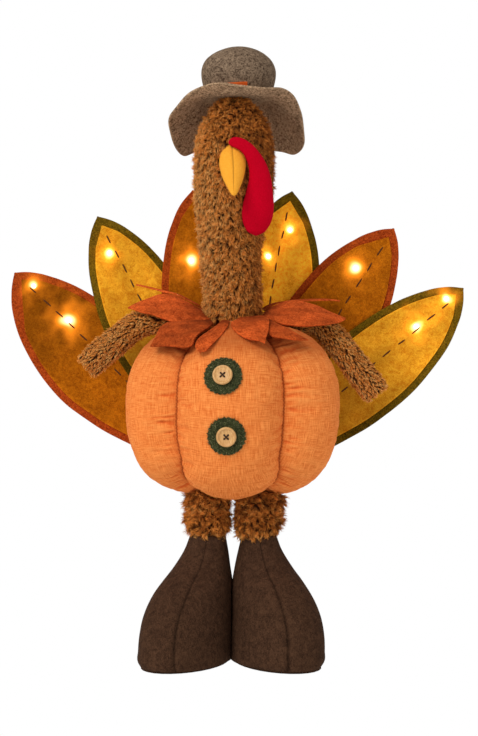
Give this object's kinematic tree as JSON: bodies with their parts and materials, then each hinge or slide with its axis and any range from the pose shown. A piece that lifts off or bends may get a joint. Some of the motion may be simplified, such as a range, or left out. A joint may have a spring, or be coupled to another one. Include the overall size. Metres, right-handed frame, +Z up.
{
  "type": "standing turkey figure",
  "caption": "Standing stuffed turkey figure with a pumpkin body, felt hat, leaf collar, lit felt feather fan, soft boots and sliding legs.",
  "frame": {"origin": "middle of the figure's box on the floor, under the soles", "axes": "+Z up, the figure faces -Y, +X to the viewer's right when looking at its front"},
  "size_m": [0.5462, 0.2678, 0.706],
  "materials": {
    "linen": "orange slub linen",
    "fur": "short curly brown plush",
    "gold_felt": "golden felt",
    "red_felt": "red felt",
    "grey_felt": "marled grey-brown felt",
    "rust_felt": "marled rust felt",
    "green_felt": "marled olive green felt",
    "brown_felt": "brown-gold felt",
    "yellow_felt": "golden yellow felt",
    "boot_felt": "dark brown felt",
    "wood": "pale satin wood",
    "steel": "plain steel tube",
    "plastic": "matt black",
    "lamp": "warm clear lamp drop on thin wire"
  },
  "bodies": {
    "torso": {"pumpkin_body": "linen", "neck_and_head": "fur", "beak": "gold_felt", "hat_crown": "grey_felt", "hat_brim": "grey_felt", "hat_band": "rust_felt", "collar_leaf_1": "rust_felt", "collar_leaf_2": "rust_felt", "collar_leaf_3": "rust_felt", "collar_leaf_4": "rust_felt", "collar_leaf_5": "rust_felt", "collar_leaf_6": "rust_felt", "collar_leaf_7": "rust_felt", "collar_leaf_8": "rust_felt", "collar_leaf_9": "rust_felt", "button_patch_upper": "green_felt", "button_upper": "wood", "button_patch_lower": "green_felt", "button_lower": "wood", "feather_back_1": "rust_felt", "feather_front_1": "brown_felt", "feather_lights_1": "lamp", "feather_back_2": "green_felt", "feather_front_2": "yellow_felt", "feather_lights_2": "lamp", "feather_back_3": "rust_felt", "feather_front_3": "brown_felt", "feather_lights_3": "lamp", "feather_back_4": "green_felt", "feather_front_4": "yellow_felt", "feather_lights_4": "lamp", "feather_back_5": "rust_felt", "feather_front_5": "brown_felt", "feather_lights_5": "lamp", "feather_back_6": "green_felt", "feather_front_6": "yellow_felt", "feather_lights_6": "lamp", "tail_frame": "plastic", "spine_frame": "steel", "outer_leg_tube_left": "steel", "outer_leg_tube_right": "steel", "leg_guide_bush_left": "plastic", "leg_guide_bush_right": "plastic", "leg_sleeve_left": "fur", "leg_sleeve_right": "fur", "battery_case": "plastic", "battery_cell_1": "steel", "battery_cell_2": "steel", "battery_cell_3": "steel"},
    "left_foot": {"inner_leg_tube_left": "steel", "boot_left": "boot_felt", "boot_sole_left": "plastic"},
    "right_foot": {"inner_leg_tube_right": "steel", "boot_right": "boot_felt", "boot_sole_right": "plastic"},
    "left_arm": {"arm_left": "fur"},
    "right_arm": {"arm_right": "fur"},
    "snood_flap": {"snood": "red_felt"},
    "cover": {"battery_cover": "plastic"},
    "switch": {"power_switch": "plastic"}
  },
  "joints": [
    {"name": "left_leg_extend", "type": "slide", "parent": "torso", "child": "left_foot", "axis": [0, 0, -1], "range_m": [0, 0.22], "deforming": ["leg_sleeve_left"]},
    {"name": "right_leg_extend", "type": "slide", "parent": "torso", "child": "right_foot", "axis": [0, 0, -1], "range_m": [0, 0.22], "deforming": ["leg_sleeve_right"]},
    {"name": "left_arm_swing", "type": "hinge", "parent": "torso", "child": "left_arm", "pos_m": [-0.07898, -0.00851, 0.3909], "axis": [-0.5, 0, 0.866], "range_deg": [-30, 20]},
    {"name": "right_arm_swing", "type": "hinge", "parent": "torso", "child": "right_arm", "pos_m": [0.06802, -0.00751, 0.39045], "axis": [-0.6801, 0, -0.7331], "range_deg": [-30, 15]},
    {"name": "snood_lift", "type": "hinge", "parent": "torso", "child": "snood_flap", "pos_m": [-0.00498, -0.06801, 0.59], "axis": [-1, 0, 0], "range_deg": [0, 70]},
    {"name": "battery_cover_slide", "type": "slide", "parent": "torso", "child": "cover", "axis": [0, 0, -1], "range_m": [0, 0.055]},
    {"name": "power_switch_slide", "type": "slide", "parent": "torso", "child": "switch", "axis": [1, 0, 0], "range_m": [0, 0.004]}
  ]
}
